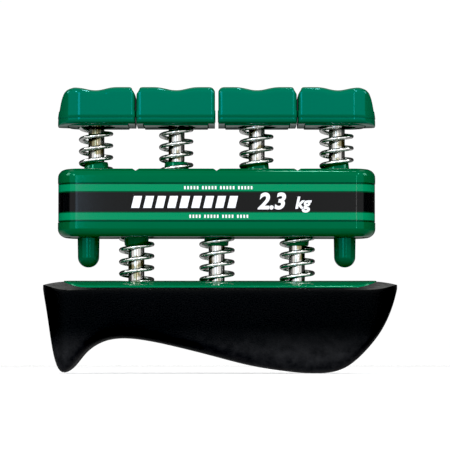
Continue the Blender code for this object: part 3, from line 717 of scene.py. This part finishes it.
# ----------------------------------------------------------------------------------
# Housing shell.  A deep green moulding, open below, with round plan ends, filleted
# edges, a shallow band sunk all round for the label, four bosses and three notches.

SHELL_FILLET = 2.4 * MM
LABEL_SINK = 0.65 * MM
LABEL_GAP = 0.25 * MM         # above and below the label, in the sunk band
NOTCH_WIDTH = 2.0 * MM
NOTCH_DEPTH = 0.7 * MM
label_low, label_high, _ = extent("label_band")

shell = rounded_block("shell_moulding", 0.0, housing_under, housing_top, 14)
pick("EDGE", is_level)
bpy.ops.mesh.bevel(offset=SHELL_FILLET, segments=7, profile=0.5)
groove(label_low.z - LABEL_GAP, label_high.z + LABEL_GAP, LABEL_SINK)
close(shell)
hollow = rounded_block("hollow", floor_inset - FIT_GAP, housing_under - 5 * PAST,
                       housing_top - HOUSING_WALL)
carve(shell, hollow)
for x in lower_x:
    wedge = begin("wedge", bpy.ops.mesh.primitive_cylinder_add, vertices=4,
                  radius=1.0, depth=4 * shell_depth, location=(x, 0.0, housing_top),
                  rotation=(math.pi / 2, 0.0, 0.0), scale=(NOTCH_WIDTH / 2, NOTCH_DEPTH, 1.0))
    carve(shell, wedge)
for x in upper_x:
    drill(shell, x, WELL_RADIUS, housing_top - SEAT_DEPTH, housing_top + 3 * PAST)
    boss(shell, x, housing_top - SEAT_DEPTH - ROOT_LAP, shell_high.z)
    drill(shell, x, BORE_RADIUS, housing_top - 2 * HOUSING_WALL, shell_high.z + PAST)
close(shell, 35)
dress(shell, green)
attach(shell, "housing")
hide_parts("housing_shell")


# ----------------------------------------------------------------------------------
# Label.  A printed film right round the housing, light green with a black band, and
# a plain white rating and scale printed on its front.

BLACK_LOW = 2.6 * MM          # of the black band above the label's lower edge
BLACK_HIGH = 8.15 * MM
EDGE_LINE = 0.3 * MM


def label_film():
    """Light green film with a black band between thin dark lines, by height, and a painted
    shade line along its lower and upper edges.
    """
    made = moulded("label_film", (0.01, 0.30, 0.125), 0.05, 0.1, 0.05, 700.0, 0.000006,
                   Specular_IOR_Level=0.15)
    tree = made.node_tree
    height = ranged(tree, axis_of(tree, "Z"), label_low.z, label_high.z)
    bands = tree.nodes.new("ShaderNodeValToRGB")
    bands.color_ramp.interpolation = "CONSTANT"
    total = label_high.z - label_low.z
    dark = (0.0, 0.05, 0.02, 1.0)
    light = (0.0, 0.215, 0.088, 1.0)
    black = (0.009, 0.009, 0.009, 1.0)
    # The dark steps at the film's lower and upper edges are painted shade, where the film
    # meets the edge of its sunk band.
    steps = ((0.0, dark), (EDGE_LINE, light), (BLACK_LOW - EDGE_LINE, dark),
             (BLACK_LOW, black), (BLACK_HIGH, dark), (BLACK_HIGH + EDGE_LINE, light),
             (total - EDGE_LINE, dark))
    stepped(bands.color_ramp, [(rise / total, colour) for rise, colour in steps])
    surface = next(n for n in tree.nodes if n.type == "GROUP")
    tree.links.new(height, bands.inputs["Fac"])
    tree.links.new(bands.outputs["Color"], surface.inputs["Colour"])
    return made


LABEL_INSET = 0.1 * MM        # of the film's face from the housing's outline
FILM_THICKNESS = 0.4 * MM
label = rounded_block("label_wrap", LABEL_INSET, label_low.z, label_high.z, 14)
pick("FACE", lambda f: abs(f.normal.z) > 0.9)
bpy.ops.mesh.delete(type="ONLY_FACE")
bpy.ops.mesh.select_all(action="SELECT")
bpy.ops.mesh.normals_make_consistent(inside=False)
bpy.ops.object.mode_set(mode="OBJECT")
film = label.modifiers.new("film", "SOLIDIFY")
film.thickness = FILM_THICKNESS
film.offset = -1.0
apply_all(label)
close(label, 35)
dress(label, label_film())
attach(label, "housing")
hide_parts("label_band")

white_ink = moulded("white_ink", (0.83, 0.83, 0.86), 0.05, 0.35, 0.05, 900.0, 0.000004)
PRINT_THICKNESS = 0.05 * MM
PRINT_RISE = 0.02 * MM        # of the print's face above the film
print_y = label_low.y - PRINT_RISE
band_mid = label_low.z + (BLACK_LOW + BLACK_HIGH) / 2


def lettering(name, words, size, x, z):
    """Flat plain figures on the label's front, centred at x and z."""
    bpy.ops.object.select_all(action="DESELECT")
    bpy.ops.object.text_add(location=(x, print_y, z), rotation=(math.pi / 2, 0.0, 0.0))
    text = bpy.context.object
    text.data.body = words
    text.data.size = size
    text.data.align_x = "CENTER"
    text.data.align_y = "CENTER"
    text.data.extrude = PRINT_THICKNESS / 2
    text.data.offset = 0.035 * size
    text.data.shear = 0.2
    text.data.resolution_u = 6
    bpy.ops.object.convert(target="MESH")
    piece = bpy.context.object
    piece.name = name
    bpy.ops.object.transform_apply(location=True, rotation=True, scale=True)
    dress(piece, white_ink)
    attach(piece, "housing")


lettering("rating_figures", "2.3", 6.3 * MM, 14.5 * MM, band_mid)
lettering("rating_unit", "kg", 4.6 * MM, 23.3 * MM, band_mid - 0.4 * MM)


def printed_row(name, blocks, z, height, slant=0.0):
    """A row of plain white blocks, (left, right) each, leaning by slant."""
    row = []
    for left, right in blocks:
        block = begin(name, bpy.ops.mesh.primitive_plane_add, size=1.0,
                      location=((left + right) / 2, print_y, z),
                      rotation=(math.pi / 2, 0.0, 0.0), scale=(right - left, height, 1.0))
        pick("VERT", lambda v: v.co.z > z)
        bpy.ops.transform.translate(value=(slant, 0.0, 0.0))
        bpy.ops.mesh.select_all(action="SELECT")
        bpy.ops.mesh.extrude_region_move(
            TRANSFORM_OT_translate={"value": (0.0, PRINT_THICKNESS, 0.0)})
        bpy.ops.mesh.select_all(action="SELECT")
        bpy.ops.mesh.normals_make_consistent(inside=False)
        bpy.ops.object.mode_set(mode="OBJECT")
        row.append(block)
    piece = row[0]
    activate(piece)
    for block in row:
        block.select_set(True)
    bpy.ops.object.join()
    piece.name = name
    dress(piece, white_ink)
    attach(piece, "housing")


def marks(start, groups, width, step, gap=0.0):
    """The sides of marks from start on, so many in each group."""
    made = []
    for count in groups:
        for _ in range(count):
            made.append((start, start + width))
            start += step
        start += gap
    return made


BARS = {"width": 2.3 * MM, "step": 3.4 * MM}
TICKS = {"width": 0.45 * MM, "step": 0.9 * MM, "gap": 0.6 * MM}
BAR_HEIGHT = 3.4 * MM
BAR_SLANT = 0.8 * MM
TICK_HEIGHT = 0.9 * MM
upper_line = label_low.z + (BLACK_HIGH + label_high.z - label_low.z) / 2
lower_line = label_low.z + BLACK_LOW / 2
printed_row("scale_bars", marks(-25.2 * MM, (9,), **BARS), band_mid, BAR_HEIGHT, BAR_SLANT)
printed_row("upper_ticks", marks(-10.2 * MM, (5, 5, 5, 5), **TICKS), upper_line, TICK_HEIGHT)
printed_row("lower_ticks", marks(-8.7 * MM, (4, 5, 4, 4), **TICKS), lower_line, TICK_HEIGHT)


# ----------------------------------------------------------------------------------
# Stop pegs.  Two darker green round-ended pegs, pressed up into the floor, that land
# on the insert at the end of the housing's stroke.

PEG_TIP_SHARE = 0.95          # how wide a peg is at its tip, before the rounding
PEG_ROUNDING = 2.9 * MM
SPIGOT_RADIUS = 1.7 * MM
PEG_GAP = 0.1 * MM            # between the housing and a peg's shoulder

dark_green = moulded("dark_green_plastic", (0.0, 0.075, 0.031), 0.12, 0.12, 0.06, 900.0,
                     0.000008, Specular_Tint=SHEEN)
low, high, mid = extent("stop_peg_left")
radius = (high.x - low.x) / 2
top = housing_under - PEG_GAP
peg = begin("peg_left", bpy.ops.mesh.primitive_cylinder_add, vertices=64, radius=radius,
            depth=top - low.z, location=(mid.x, 0.0, (top + low.z) / 2))
pick("FACE", lambda f: f.normal.z < -0.9)
bpy.ops.transform.resize(value=(PEG_TIP_SHARE, PEG_TIP_SHARE, 1.0),
                         center_override=(mid.x, 0.0, low.z))
bpy.ops.mesh.bevel(affect="EDGES", offset=PEG_ROUNDING, segments=10, profile=0.5)
pick("FACE", lambda f: f.normal.z > 0.9)
bpy.ops.mesh.inset(thickness=radius - SPIGOT_RADIUS)
bpy.ops.mesh.extrude_region_move(TRANSFORM_OT_translate={"value": (0, 0, high.z - top)})
close(peg, 35)
dress(peg, dark_green)
peg_spacing = extent("stop_peg_right")[2].x - mid.x
for side, piece in (("left", peg), ("right", repeat(peg, "peg_right", peg_spacing))):
    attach(piece, "housing")
    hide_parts("stop_peg_" + side)


# ----------------------------------------------------------------------------------
# Button caps.  Four glossy green hollow mouldings with a finger dip across the top.
# The outer two are rounded off at the ends of the row; the others meet at chamfers.

CAP_STATIONS = 22
SKIRT_LOW = 2.2 * MM          # a slightly proud band round each cap, above its lower edge
SKIRT_HIGH = 4.1 * MM
SKIRT_STEP = 0.14 * MM
SKIRT_TUCK = 0.022            # how much narrower the cap is from there down
CAP_EDGE = 0.12 * MM          # the first and last stations hold the end faces flat
HAIR = 0.03 * MM
SHOULDER_LOW = 9.0 * MM       # where the sides at a close gap start to lean apart
SHOULDER_LEAN = 0.6 * MM
SHOULDER_ROWS = (0.2 * MM, 0.7 * MM)   # above there, where each step of the lean starts
JOIN_REACH = 0.7 * MM         # how far in from a close gap the lean goes
DEPTH_LEVEL = 1.25 * MM       # above a cap's lower edge, where its depth is taken
PLATE_CORNER = 5.0 * MM
CAP_HOLLOW = 6.0 * MM         # how far up a cap is hollow
CAP_UNDER_EDGE = (1.0 * MM, 1)
CAP_TOP_EDGE = (1.5 * MM, 3)


def plate_block(name, k, room, under, over):
    """A block with a button plate's plan, and some room, between two heights."""
    low, high, mid = extent("button_plate_%d" % k)
    block = begin(name, bpy.ops.mesh.primitive_cube_add, size=1.0,
                  location=(mid.x, 0.0, (under + over) / 2),
                  scale=(high.x - low.x + room, high.y - low.y + room, over - under))
    if k in (1, 4):
        outwards = -1 if k == 1 else 1
        pick("EDGE", lambda e: not is_level(e) and (e.verts[0].co.x - mid.x) * outwards > 0)
        bpy.ops.mesh.bevel(offset=PLATE_CORNER, segments=8)
    return block


def cap_stations(name):
    """Sections of a cap, crowded towards its two ends."""
    low, high, _ = extent(name)
    start, end = low.x + HAIR, high.x - HAIR
    places = [start, start + CAP_EDGE]
    for k in range(1, CAP_STATIONS):
        share = k / CAP_STATIONS
        crowded = 0.5 - 0.5 * math.cos(math.pi * share)
        places.append(start + (end - start) * (0.5 * share + 0.5 * crowded))
    places += [end - CAP_EDGE, end]
    stations = []
    for x in places:
        top = probe(name, (x, 0.0, 1.0), (0, 0, -1)).z
        side = probe(name, (x, -1.0, low.z + DEPTH_LEVEL), (0, 1, 0))
        stations.append((x, abs(side.y), low.z, top))
    return stations


# The caps' green is bluer than the housing's; the extra blue is a painted reflection of bluish
# light on their fronts.
cap_green = moulded("cap_green_plastic", (0.0, 0.101, 0.044), 0.12, 0.08, 0.04, 900.0,
                    0.000006, Specular_Tint=(0.12, 0.9, 1.0, 1.0))
for k in (1, 2, 3, 4):
    name = "button_cap_%d" % k
    low, high, mid = extent(name)
    cap = swept("cap_%d" % k, cap_stations(name), CAP_UNDER_EDGE, CAP_TOP_EDGE, 3)
    cut_rows(low.z + SKIRT_LOW + 0.2 * MM, low.z + SKIRT_HIGH + 1 * MM, low.z + SHOULDER_LOW)
    away = 1 if k in (2, 4) else -1
    joining = low.x if away > 0 else high.x
    for rise in SHOULDER_ROWS:
        pick("VERT", lambda v: v.co.z > low.z + SHOULDER_LOW + rise
             and abs(v.co.x - joining) < JOIN_REACH)
        bpy.ops.transform.translate(value=(away * SHOULDER_LEAN / len(SHOULDER_ROWS), 0, 0))
    for side in ((low.x, high.x) if k in (2, 3) else (joining,)):
        pick("EDGE", lambda e: all(abs(v.co.x - side) < HAIR + TINY for v in e.verts))
        bpy.ops.transform.edge_crease(value=0.9)
    close(cap)
    subdivide(cap, 2)
    activate(cap)
    bpy.ops.object.mode_set(mode="EDIT")
    cut_rows(low.z + SKIRT_HIGH, low.z + SKIRT_LOW)
    pick("FACE", lambda f: low.z + SKIRT_LOW < f.calc_center_median().z < low.z + SKIRT_HIGH)
    bpy.ops.mesh.extrude_region_shrink_fatten(TRANSFORM_OT_shrink_fatten={"value": SKIRT_STEP})
    pick("VERT", lambda v: v.co.z < low.z + SKIRT_LOW + 2 * TINY)
    bpy.ops.transform.resize(value=(1.0, 1.0 - SKIRT_TUCK, 1.0), center_override=mid)
    bpy.ops.object.mode_set(mode="OBJECT")
    carve(cap, plate_block("room", k, FIT_GAP, low.z - 2 * PAST, low.z + CAP_HOLLOW))
    close(cap, 40)
    dress(cap, cap_green)
    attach(cap, "button_%d" % k)
    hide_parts(name)


# ----------------------------------------------------------------------------------
# Button plates.  Flat green plates that close the caps from below, each with a round
# seat for its spring and a hole for its rod.

for k in (1, 2, 3, 4):
    low, high, _ = extent("button_plate_%d" % k)
    plate = plate_block("plate_%d" % k, k, 0.0, low.z, high.z)
    pick("EDGE", lambda e: all(v.co.z < low.z + TINY for v in e.verts))
    bpy.ops.mesh.bevel(offset=FINE_EDGE, segments=2)
    drill(plate, upper_x[k - 1], WELL_RADIUS, low.z - PAST, low.z + SEAT_DEPTH)
    drill(plate, upper_x[k - 1], BORE_RADIUS, low.z - PAST, high.z + PAST)
    close(plate, 35)
    dress(plate, dark_green)
    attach(plate, "button_%d" % k)
    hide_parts("button_plate_%d" % k)


# ----------------------------------------------------------------------------------
# Upper rods.  Bright plated rods, held in the caps and sliding down through the bosses
# into the housing, each grooved for a clip near its lower end.

low, high, _ = extent("upper_rod_1")
first_rod = rod("rod_upper_1", low, high, "upper_rod_clip_1")
close(first_rod)
dress(first_rod, rod_chrome)
upper_rods = [first_rod] + [repeat(first_rod, "rod_upper_%d" % k, upper_x[k - 1] - upper_x[0])
                            for k in (2, 3, 4)]
for k, piece in enumerate(upper_rods, 1):
    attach(piece, "button_%d" % k)
    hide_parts("upper_rod_%d" % k)


# ----------------------------------------------------------------------------------
# Upper springs.  The same coils as below, standing round the bosses of the housing
# and pressing up into the seats of the button plates.

UPPER_COIL_RADIUS = 4.95 * MM
UPPER_STRANDS = (60.2, 61.4, 59.4, 59.5)
for k, left_z in enumerate(UPPER_STRANDS, 1):
    low, high, mid = extent("upper_spring_%d" % k)
    piece = coil("spring_upper_%d" % k, upper_x[k - 1] - SPRING_OFFSET, UPPER_COIL_RADIUS,
                 low.z, high.z, left_z * MM)
    dress(piece, spring_chrome)
    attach(piece, "housing")
    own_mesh(piece)
    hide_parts("upper_spring_%d" % k)


# ----------------------------------------------------------------------------------
# Retaining clips.  C-shaped rings of spring steel in the grooves of the rods, inside
# the housing.  They keep their shape from the frame.

clip_steel = plated("clip_steel", (0.5, 0.5, 0.52), 0.3, 0.15, 0.3, 0.000006)
for place, count in (("lower", 3), ("upper", 4)):
    for k in range(1, count + 1):
        dress(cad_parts["%s_rod_clip_%d" % (place, k)], clip_steel)


# ----------------------------------------------------------------------------------
# Studio.  A plain white floor that fades into a white background, a soft white dome in
# front and overhead with dark sides for the metal to mirror, and the camera low down.

FLOOR_RADIUS = 1.6
FADE_START = 0.5
FADE_END = 1.4


def white_floor():
    """Matt white, fading out with distance from the object, and clear from below."""
    made = bpy.data.materials.new("white_floor")
    made.use_nodes = True
    tree = made.node_tree
    link = tree.links.new
    shader = tree.nodes["Principled BSDF"]
    shader.inputs["Base Color"].default_value = (0.88, 0.88, 0.88, 1.0)
    shader.inputs["Roughness"].default_value = 0.9
    shader.inputs["Specular IOR Level"].default_value = 0.1
    place = tree.nodes.new("ShaderNodeTexCoord")
    away = node(tree, "ShaderNodeVectorMath", operation="LENGTH")
    link(place.outputs["Object"], away.inputs[0])
    fade = ranged(tree, away.outputs["Value"], FADE_START, FADE_END, 1.0, 0.0, "SMOOTHSTEP")
    side = tree.nodes.new("ShaderNodeNewGeometry")
    front = math_of(tree, "SUBTRACT", 1.0, side.outputs["Backfacing"])
    link(math_of(tree, "MULTIPLY", fade, front), shader.inputs["Alpha"])
    shader.inputs["Emission Color"].default_value = (1.0, 1.0, 1.0, 1.0)
    shader.inputs["Emission Strength"].default_value = 0.2
    return made


floor_disc = begin("studio_floor", bpy.ops.mesh.primitive_circle_add, vertices=96,
                   radius=FLOOR_RADIUS, fill_type="NGON")
close(floor_disc)
dress(floor_disc, white_floor())
floor_disc.visible_diffuse = False
floor_disc.visible_glossy = False
floor_disc.visible_shadow = False

CAMERA_DISTANCE = 0.90
CAMERA_HEIGHT = 0.004
AIM = Vector((0.0014, 0.0, 0.0425))
FRAME_WIDTH = 0.1289          # of what the camera takes in at the object
camera_data = bpy.data.cameras.new("camera")
camera = bpy.data.objects.new("camera", camera_data)
bpy.context.scene.collection.objects.link(camera)
camera.location = (0.0, -CAMERA_DISTANCE, CAMERA_HEIGHT)
camera.rotation_euler = (AIM - camera.location).to_track_quat("-Z", "Y").to_euler()
camera_data.sensor_width = 36.0
camera_data.lens = camera_data.sensor_width * CAMERA_DISTANCE / FRAME_WIDTH
camera_data.clip_start = 0.01
bpy.context.scene.camera = camera


def softbox(name, place, size, power, colour=(1.0, 1.0, 1.0)):
    """A rectangular soft light aimed at the middle of the object."""
    data = bpy.data.lights.new(name, "AREA")
    data.shape = "RECTANGLE"
    data.size, data.size_y = size
    data.energy = power
    data.color = colour
    made = bpy.data.objects.new(name, data)
    bpy.context.scene.collection.objects.link(made)
    made.location = place
    middle = Vector((0.0, 0.0, 0.04))
    made.rotation_euler = (middle - Vector(place)).to_track_quat("-Z", "Y").to_euler()


softbox("key", (0.45, -0.75, 0.75), (0.2, 0.2), 2.5)
softbox("fill", (-0.6, -0.8, 0.55), (0.2, 0.2), 2.0)
softbox("left_strip", (-0.26, -0.88, 0.15), (0.22, 0.5), 1.3, (0.5, 0.75, 1.0))
softbox("right_strip", (0.24, -0.88, 0.15), (0.05, 0.5), 0.5)
softbox("window", (0.078, -0.15, 0.9), (0.03, 0.12), 0.6)
softbox("left_side", (-0.9, -0.1, 0.55), (0.4, 0.4), 3.0)
softbox("right_side", (0.9, -0.1, 0.55), (0.4, 0.4), 3.0)

FRONT_DOME = 1.40
BACK_DOME = 0.045
OVERHEAD = 0.9
SIDES = 0.10
BELOW = 0.42
LOW_SWEEP = 0.15              # of the surroundings, just below the horizon
BACKDROP = 1.02               # what the camera sees behind the object
LOW_BLEND = (-0.30, -0.02)    # heights, as shares of the dome's radius
HIGH_BLEND = (0.60, 0.90)
SWEEP_BLEND = (-0.045, -0.07)


def surroundings():
    """White in front and overhead, dark at the sides and below, grey behind."""
    world = bpy.data.worlds.new("studio")
    world.use_nodes = True
    bpy.context.scene.world = world
    tree = world.node_tree
    link = tree.links.new
    back = tree.nodes["Background"]
    place = tree.nodes.new("ShaderNodeTexCoord")
    split = tree.nodes.new("ShaderNodeSeparateXYZ")
    link(place.outputs["Generated"], split.inputs["Vector"])
    flat = tree.nodes.new("ShaderNodeCombineXYZ")
    link(split.outputs["X"], flat.inputs["X"])
    link(split.outputs["Y"], flat.inputs["Y"])
    heading = node(tree, "ShaderNodeVectorMath", operation="NORMALIZE")
    link(flat.outputs["Vector"], heading.inputs[0])
    split_flat = tree.nodes.new("ShaderNodeSeparateXYZ")
    link(heading.outputs["Vector"], split_flat.inputs["Vector"])
    round_about = tree.nodes.new("ShaderNodeValToRGB")
    steps = ((0.0, BACK_DOME), (0.25, BACK_DOME), (0.31, SIDES), (0.66, SIDES),
             (0.74, FRONT_DOME), (1.0, FRONT_DOME))
    stepped(round_about.color_ramp, [(turn, (grey, grey, grey, 1.0)) for turn, grey in steps])
    link(ranged(tree, split_flat.outputs["Y"], 1.0, -1.0), round_about.inputs["Fac"])

    height = split.outputs["Z"]
    rise = ranged(tree, height, *LOW_BLEND, curve="SMOOTHSTEP")
    level = mixed(tree, rise, BELOW, round_about.outputs["Color"])
    rise = ranged(tree, height, *HIGH_BLEND, curve="SMOOTHSTEP")
    level = mixed(tree, rise, level, OVERHEAD)
    sweep = ranged(tree, height, *SWEEP_BLEND, 0.0, LOW_SWEEP)
    level = mixed(tree, 1.0, level, sweep, "LIGHTEN")
    path = tree.nodes.new("ShaderNodeLightPath")
    link(mixed(tree, path.outputs["Is Camera Ray"], level, BACKDROP), back.inputs["Color"])


surroundings()
BLACK_POINT = 0.012
view = bpy.context.scene.view_settings
view.view_transform = "Standard"
view.use_curve_mapping = True
view.curve_mapping.black_level = (BLACK_POINT, BLACK_POINT, BLACK_POINT)
view.curve_mapping.update()
